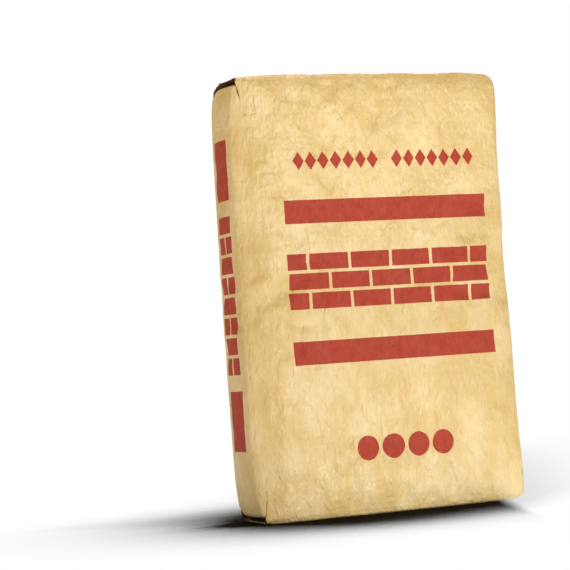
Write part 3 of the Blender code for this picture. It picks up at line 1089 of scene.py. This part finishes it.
def lozenges(tree, across, up):
    """A row of lozenges without its middle one.

    A point is in a lozenge where its distances from the middle, across and up, each as a share of the
    lozenge's half width and half height, add up to less than one.
    """
    left, right, low, high = LOZENGE_ROW
    middle = (left + right) / 2
    half_pitch = (right - left) / LOZENGES / 2
    sideways = off_middle(tree, across, left, right, LOZENGES)
    sideways = add(tree, "Math", (sideways, LOZENGE_WIDTH * half_pitch), operation="DIVIDE")
    upward = add(tree, "Math", (up, (low + high) / 2), operation="SUBTRACT")
    upward = add(tree, "Math", (upward,), operation="ABSOLUTE")
    upward = add(tree, "Math", (upward, (high - low) / 2), operation="DIVIDE")
    both = add(tree, "Math", (sideways, upward), operation="ADD")
    shape = add(tree, "Math", (both, 1.0), operation="LESS_THAN")
    gap = inside(tree, (across, middle - half_pitch, middle + half_pitch))
    kept = add(tree, "Math", (1.0, gap), operation="SUBTRACT")
    shape = add(tree, "Math", (shape, kept), operation="MULTIPLY")
    row = inside(tree, (across, left, right), (up, low, high))
    return add(tree, "Math", (shape, row), operation="MULTIPLY")


def discs(tree, across, up):
    """A row of discs: the distance to the nearest middle is less than the radius."""
    left, right, height = DISC_ROW
    upward = add(tree, "Math", (up, height), operation="SUBTRACT")
    from_middle = add(tree, "CombineXYZ", (off_middle(tree, across, left, right, DISCS), upward))
    distance = add(tree, "VectorMath", (from_middle,), out="Value", operation="LENGTH")
    shape = add(tree, "Math", (distance, DISC_RADIUS), operation="LESS_THAN")
    return add(tree, "Math", (shape, inside(tree, (across, left, right))), operation="MULTIPLY")


pitch = (LOZENGE_ROW[1] - LOZENGE_ROW[0]) / LOZENGES
print("Lozenges stand", round(1000 * pitch, 1), "mm apart")


# %% The plates as one mask
def panel_coordinates(tree, place):
    """Number of the panel, and place across and up on it, wavering slightly as printed edges do."""
    waver = add(tree, "TexNoise", {"Vector": place, "Scale": millimetres(WAVER_MM)}, out="Color")
    waver = add(tree, "VectorMath", (waver, (0.5, 0.5, 0.5)), operation="SUBTRACT")
    waver = add(tree, "VectorMath", {0: waver, "Scale": INK_WAVER}, operation="SCALE")
    panel_map = add(tree, "UVMap", uv_map="panel_metres")
    number = add(tree, "SeparateXYZ", (panel_map,), out="X")
    number = add(tree, "Math", (number,), operation="ROUND")
    moved = add(tree, "VectorMath", (panel_map, waver), operation="ADD")
    parts = add(tree, "SeparateXYZ", (moved,)).node.outputs
    return number, add(tree, "Math", (parts["X"], number), operation="SUBTRACT"), parts["Y"]


def print_mask(tree, number, across, up):
    """1 where the sack is inked: the wide panels carry one plate, the side panels another."""
    wide = [inside(tree, (across, *BARS_ACROSS), (up, *bar)) for bar in BARS_UP]
    wide.append(brickwork(tree, across, up, BRICK_BAND, BRICK_MM))
    wide.append(lozenges(tree, across, up))
    wide.append(discs(tree, across, up))
    narrow = [inside(tree, (across, *SIDE_BARS_ACROSS), (up, *bar)) for bar in SIDE_BARS_UP]
    narrow.append(brickwork(tree, across, up, SIDE_BRICK_BAND, SIDE_BRICK_MM))
    total = 0.0
    for shapes, panels in ((wide, WIDE_PANELS), (narrow, SIDE_PANELS)):
        here = inside(tree, (number, *panels))
        for shape in shapes:
            total = add(tree, "Math", (shape, here, total), operation="MULTIPLY_ADD")
    return add(tree, "Math", (total, 1.0), operation="MINIMUM")


print("Printed edges waver by up to", 1000 * INK_WAVER / 2, "mm")

# %% [markdown]
# ## Kraft paper and red ink
# Sack kraft is unbleached softwood pulp, pressed and crinkled a little so that it stretches. It is matt
# and golden tan. Close up it shows darker fibres that run up the bag, cloudy patches, and creases. Their
# ridges are painted paler, partly as rubbed wear and partly as painted highlight, and their valleys
# darker, as painted shade. A picture of paper could be laid on, but its creases would take no light. So
# every mark is a pattern with its real size, and the same pattern also bends the light as bump. Facets
# of a few millimetres go on where the mesh's own facets leave off, and a crease is a thin line where a
# soft noise passes its middle value. The ink is a thin flexographic red that sinks into the paper and
# takes on the same creases.

# %% Facets and creases as patterns
FACET_BEND = 0.0009
CREASE_PATCHES = (0.54, 0.64)


def facets(tree, place, size, slope, seed_shift):
    """Height in metres of facets of a size in millimetres.

    Each Voronoi cell is a plane that leans its own random way: the height is the dot product of the
    cell's lean and the way from the cell's seed.
    """
    bend = add(tree, "TexNoise", {"Vector": place, "Scale": millimetres(size * 1.7)}, out="Color")
    bent = add(tree, "VectorMath", (bend, (FACET_BEND * size,) * 3, place), operation="MULTIPLY_ADD")
    moved = add(tree, "VectorMath", (bent, seed_shift), operation="ADD")
    cells = add(tree, "TexVoronoi", {
        "Vector": moved, "Scale": millimetres(size), "Smoothness": 0.7,
    }, feature="SMOOTH_F1").node.outputs
    lean = add(tree, "VectorMath", (cells["Color"], (0.5, 0.5, 0.5)), operation="SUBTRACT")
    away = add(tree, "VectorMath", (moved, cells["Position"]), operation="SUBTRACT")
    height = add(tree, "VectorMath", (lean, away), out="Value", operation="DOT_PRODUCT")
    return add(tree, "Math", (height, slope), operation="MULTIPLY")


def line(tree, off_line, width):
    """1 on a line and 0 past its width on either side, from a distance that may be negative."""
    off_line = add(tree, "Math", (off_line,), operation="ABSOLUTE")
    return add(tree, "MapRange", (off_line, 0.0, width, 1.0, 0.0), **SMOOTH)


def crease_lines(tree, place, size, width, seed_shift):
    """Sharp creases: lines where a soft noise passes its middle value, shown only in patches."""
    moved = add(tree, "VectorMath", (place, seed_shift), operation="ADD")
    wave = add(tree, "TexNoise", {
        "Vector": moved, "Scale": millimetres(size), "Detail": 1.5, "Roughness": 0.4,
    })
    off_line = add(tree, "Math", (wave, 0.5), operation="SUBTRACT")
    patches = add(tree, "TexNoise", {"Vector": moved, "Scale": millimetres(size * 1.3)})
    patches = add(tree, "MapRange", (patches, *CREASE_PATCHES), **SMOOTH)
    return add(tree, "Math", (line(tree, off_line, width / size), patches), operation="MULTIPLY")


print("A facet of 8 mm is bent by up to", round(1000 * 8 * FACET_BEND, 1), "mm")

# %% Creases beside the open corner
# Creases beside the open corner, painted darker as shade and sunk in the bump
# Centre and radius of an arc, the rectangle it is seen in, and an upright's place across and ends
CORNER_ARC = (-0.1612, 0.5145, 0.0165)
CORNER_ARC_INSIDE = ((-0.2, -0.1532), (0.3, 0.5145))
CORNER_UPRIGHT = (-0.1542, 0.492, 0.529)
UPRIGHT_LEAN = 0.07
UPRIGHT_FADES = (0.010, 0.012)
CREASE_WIDTH = 0.0012


def corner_creases(tree, number, across, up):
    """The creases beside the open corner: an arc that runs on from the flap's edge, and an upright."""
    x, y, radius = CORNER_ARC
    from_centre = add(tree, "CombineXYZ", (across, up))
    from_centre = add(tree, "VectorMath", (from_centre, (x, y, 0.0)), operation="SUBTRACT")
    distance = add(tree, "VectorMath", (from_centre,), out="Value", operation="LENGTH")
    off_arc = add(tree, "Math", (distance, radius), operation="SUBTRACT")
    (left, right), (bottom, top) = CORNER_ARC_INSIDE
    arc_part = inside(tree, (across, left, right), (up, bottom, top))
    arc = add(tree, "Math", (line(tree, off_arc, CREASE_WIDTH), arc_part), operation="MULTIPLY")
    x, low, high = CORNER_UPRIGHT
    lean = add(tree, "Math", (up, -UPRIGHT_LEAN, x + UPRIGHT_LEAN * low), operation="MULTIPLY_ADD")
    upright = line(tree, add(tree, "Math", (across, lean), operation="SUBTRACT"), CREASE_WIDTH)
    first, last = UPRIGHT_FADES
    for limits in ((low, low + first, 0.0, 1.0), (high - last, high, 1.0, 0.0)):
        fade = add(tree, "MapRange", (up, *limits), **SMOOTH)
        upright = add(tree, "Math", (upright, fade), operation="MULTIPLY")
    both = add(tree, "Math", (arc, upright), operation="MAXIMUM")
    return add(tree, "Math", (both, inside(tree, (number, *FRONT_PANEL))), operation="MULTIPLY")


print("The corner's creases are", 1000 * CREASE_WIDTH, "mm wide on either side")

# %% Colour of the paper
# Pale of the ridges: partly rubbed wear, partly painted highlight
PALE_WEAR_AND_HIGHLIGHT = linear("#F7E6BC")
PAPER_LIGHT = linear("#ECD299")
PAPER_MIDDLE = linear("#DFC07D")
PAPER_DARK = linear("#CCA660")
# Dark of the fibres and shives, and also of the painted shade in creases and along the slits
FIBRE_DARK_AND_SHADE = linear("#A9804A")
COLOURS = {"out": 2, "data_type": "RGBA"}


def paper_colour(tree, clouds, mottle, streaks, fibres, shives, shaded_valleys, shaded_slits_and_creases, rubbed_and_highlight):
    """The middle colour of the paper, with one mark after another mixed over it."""
    paper = PAPER_MIDDLE
    # A mark, where its colour starts and where it is full, how strong it gets, and the colour
    for mark, low, high, strongest, tint in (
        (clouds, 0.36, 0.64, 1.00, PAPER_LIGHT), (mottle, 0.45, 0.72, 0.17, PAPER_DARK),
        (streaks, 0.48, 0.70, 0.15, PAPER_DARK), (fibres, 0.52, 0.75, 0.12, PAPER_DARK),
        (shives, 0.70, 0.78, 0.20, FIBRE_DARK_AND_SHADE),
    ):
        share = add(tree, "MapRange", (mark, low, high, 0.0, strongest), **SMOOTH)
        paper = add(tree, "Mix", {0: share, 6: paper, 7: tint}, **COLOURS)
    # Valleys and lines along slits and creases are painted shade; the pale of ridges is partly wear, partly
    # painted highlight
    for mark, strength, tint in (
        (shaded_valleys, 0.11, FIBRE_DARK_AND_SHADE), (shaded_slits_and_creases, 0.50, FIBRE_DARK_AND_SHADE), (rubbed_and_highlight, 0.30, PALE_WEAR_AND_HIGHLIGHT),
    ):
        share = add(tree, "Math", (mark, strength), operation="MULTIPLY")
        paper = add(tree, "Mix", {0: share, 6: paper, 7: tint}, **COLOURS)
    return paper


print("The paper mixes from red", round(PAPER_MIDDLE[0], 2), "to", round(PAPER_LIGHT[0], 2))

# %% Height of the crinkles
# Size in millimetres, slope and place of the two sets of facets, and the height in metres of each mark
FINE_FACETS = ((8.0, 0.28, (0.31, 0.17, 0.23)), (4.0, 0.30, (0.52, 0.41, 0.13)))
RIDGE_HEIGHT = 0.00020
HOLLOW_HEIGHT = -0.00028
STREAK_HEIGHT = 0.00024
FIBRE_HEIGHT = 0.00008


def crinkle_height(tree, place, ridges, worked, hollows, streaks, fibres):
    """Height of the bump in metres: facets and ridges where the paper is worked, and the other marks."""
    large, small = [facets(tree, place, *sizes) for sizes in FINE_FACETS]
    height = add(tree, "Math", (large, small), operation="ADD")
    height = add(tree, "Math", (ridges, RIDGE_HEIGHT, height), operation="MULTIPLY_ADD")
    height = add(tree, "Math", (height, worked), operation="MULTIPLY")
    for mark, metres in ((hollows, HOLLOW_HEIGHT), (streaks, STREAK_HEIGHT), (fibres, FIBRE_HEIGHT)):
        height = add(tree, "Math", (mark, metres, height), operation="MULTIPLY_ADD")
    return height


print("The ridges of the bump stand", 1000 * RIDGE_HEIGHT, "mm high")

# %% Sack kraft
INK_RED = linear("#B02C18")
INK_DEEP = linear("#9E2716")
# The upper part of the bag is handled more, so its creases are stronger: two heights, two strengths
WORKED = (0.18, 0.46, 0.72, 0.90)


def matt_surface(tree, colour, roughness, height, strength=1.0, distance=1.0):
    """The last steps of a matt material: bump from a height, the surface itself, and the output."""
    relief = add(tree, "Bump", {"Strength": strength, "Distance": distance, "Height": height})
    surface = add(tree, "BsdfPrincipled", {
        "Base Color": colour, "Roughness": roughness, "IOR": 1.50, "Normal": relief,
    })
    add(tree, "OutputMaterial", {"Surface": surface})


def sack_kraft():
    """Printed, crinkled, fibrous kraft, matt with a faint sheen; ridges partly worn, partly painted
    highlight.
    """
    material, tree = new_tree("printed_sack_kraft")
    place = add(tree, "TexCoord", out="Object")
    upright, long, longest = [
        add(tree, "Mapping", {"Vector": place, "Scale": (1.0, 1.0, squeeze)})
        for squeeze in (0.55, 0.38, 0.22)
    ]
    clouds, mottle, streaks, fibres, shives = [
        add(tree, "TexNoise", {
            "Vector": where, "Scale": millimetres(size), "Detail": detail, "Roughness": roughness,
        })
        # Where it lies, size in millimetres, detail and roughness
        for where, size, detail, roughness in (
            (place, 60.0, 3.0, 0.45), (upright, 9.0, 5.0, 0.65), (long, 6.0, 3.0, 0.55),
            (longest, 1.6, 3.0, 0.60), (longest, 1.1, 1.0, 0.50),
        )
    ]
    number, across, up = panel_coordinates(tree, place)
    slit = add(tree, "Attribute", out="Fac", attribute_name="slit_line")
    slit = add(tree, "MapRange", (slit, 0.50, 1.0), **SMOOTH)
    # Lines along the slits and the corner's creases: painted darker as shade, and sunk as hollows in the
    # bump
    shaded_slits_and_creases = add(tree, "Math", (slit, corner_creases(tree, number, across, up)), operation="MAXIMUM")
    # Valleys of the creases: painted darker as shade in the colour, and sunk in the bump
    shaded_valleys = crease_lines(tree, long, 26.0, 0.60, (0.7, 0.2, 0.4))
    ridges = 0.0
    for size, seed_shift in ((14.0, (0.1, 0.8, 0.6)), (9.0, (0.5, 0.3, 0.9)), (6.0, (0.9, 0.6, 0.2))):
        more = crease_lines(tree, long, size, 0.50, seed_shift)
        ridges = add(tree, "Math", (ridges, more), operation="MAXIMUM")
    worked = add(tree, "SeparateXYZ", (place,), out="Z")
    worked = add(tree, "MapRange", (worked, *WORKED), **SMOOTH)

    # Pale on the worked ridges: partly rubbed wear, partly a painted highlight
    rubbed_and_highlight = add(tree, "Math", (ridges, worked), operation="MULTIPLY")
    paper = paper_colour(tree, clouds, mottle, streaks, fibres, shives, shaded_valleys, shaded_slits_and_creases, rubbed_and_highlight)
    deep = add(tree, "MapRange", (mottle, 0.35, 0.75, 0.0, 0.5), **SMOOTH)
    ink = add(tree, "Mix", {0: deep, 6: INK_RED, 7: INK_DEEP}, **COLOURS)
    cover = add(tree, "MapRange", (fibres, 0.30, 0.80, 0.98, 0.94), **SMOOTH)
    inked = add(tree, "Math", (print_mask(tree, number, across, up), cover), operation="MULTIPLY")
    colour = add(tree, "Mix", {0: inked, 6: paper, 7: ink}, **COLOURS)
    roughness = add(tree, "MapRange", (mottle, 0.3, 0.7, 0.42, 0.55), **SMOOTH)
    roughness = add(tree, "Math", (inked, 0.25, roughness), operation="MULTIPLY_ADD")

    hollows = add(tree, "Math", (shaded_valleys, shaded_slits_and_creases), operation="MAXIMUM")
    height = crinkle_height(tree, upright, ridges, worked, hollows, streaks, fibres)
    matt_surface(tree, colour, roughness, height)
    return material


sack.data.materials.append(sack_kraft())
print("Printed kraft has", len(sack.data.materials[0].node_tree.nodes), "nodes")

# %% [markdown]
# ## Inner plies, tape and cement
# Three plainer finishes are left. The inner plies are kraft without its print, painted much darker as
# the shade inside the pockets. The closing strips are a heavier kraft tape, whose fibres run along it
# because it comes off a roll. Cement is ground stone, so it has no sheen at all. Each is two colours
# mixed by one noise, with the same noise as bump, and nothing more is needed where so little of them
# shows.


# %% Inner plies, tape and cement
def plain_finish(name, size, detail, noise_roughness, colours, roughness, strength, distance, fibres=None):
    """Two colours mixed by a noise with a size in millimetres, which is also the bump.

    Fibres are a third colour along x, at most 0.4 of it, and add 0.3 of themselves to the height.
    """
    material, tree = new_tree(name)
    place = add(tree, "TexCoord", out="Object")
    height = add(tree, "TexNoise", {
        "Vector": place, "Scale": millimetres(size), "Detail": detail, "Roughness": noise_roughness,
    })
    share = add(tree, "MapRange", (height, 0.35, 0.7), **SMOOTH)
    colour = add(tree, "Mix", {0: share, 6: linear(colours[0]), 7: linear(colours[1])}, **COLOURS)
    if fibres:
        along = add(tree, "Mapping", {"Vector": place, "Scale": (0.2, 1.0, 1.0)})
        threads = add(tree, "TexNoise", {"Vector": along, "Scale": millimetres(1.8), "Detail": 3.0})
        share = add(tree, "MapRange", (threads, 0.5, 0.75, 0.0, 0.4), **SMOOTH)
        colour = add(tree, "Mix", {0: share, 6: colour, 7: linear(fibres)}, **COLOURS)
        height = add(tree, "Math", (threads, 0.3, height), operation="MULTIPLY_ADD")
    matt_surface(tree, colour, roughness, height, strength, distance)
    return material


# Raw kraft, painted much darker than the outside as the shade in the pockets, where little light reaches
shaded_inner_ply = plain_finish(
    "inner_kraft_ply_painted_shade", size=5.0, detail=4.0, noise_roughness=0.5,
    colours=("#7A5A2E", "#463115"), roughness=0.85, strength=0.6, distance=0.0004)
# Tape a shade darker than the sack, with fibres that catch the eye as faint stripes along it
tape = plain_finish(
    "glued_kraft_tape", size=12.0, detail=4.0, noise_roughness=0.5,
    colours=("#C79F5F", "#B68D50"), roughness=0.72, strength=0.7, distance=0.0006, fibres="#987140")
# Cement is a dead matt, cool grey powder with clods of a few millimetres
cement = plain_finish(
    "portland_cement_powder", size=6.0, detail=6.0, noise_roughness=0.7,
    colours=("#A3A19A", "#84827B"), roughness=0.95, strength=0.8, distance=0.0010)
sack.data.materials.append(shaded_inner_ply)
strip_top.data.materials.append(tape)
powder.data.materials.append(cement)
bottom_strip = next(thing for thing in bpy.data.objects if thing.name.startswith("bottom_closing_strip"))
bottom_strip.material_slots[0].material = tape
print("Materials:", [material.name for material in bpy.data.materials if material.users])

# %% [markdown]
# ## Joining the pieces to the body
# Each piece moves with the bag's only body, and the imported solid that it stands for is hidden.

# %% Roles of the pieces
for piece, node, slot_name in (
    (sack, "paper_sack", "kraft_paper"),
    (strip_top, "top_closing_strip", "strip_paper"),
    (powder, "cement_fill", "cement_powder"),
):
    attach(piece, "root")
    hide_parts(node)
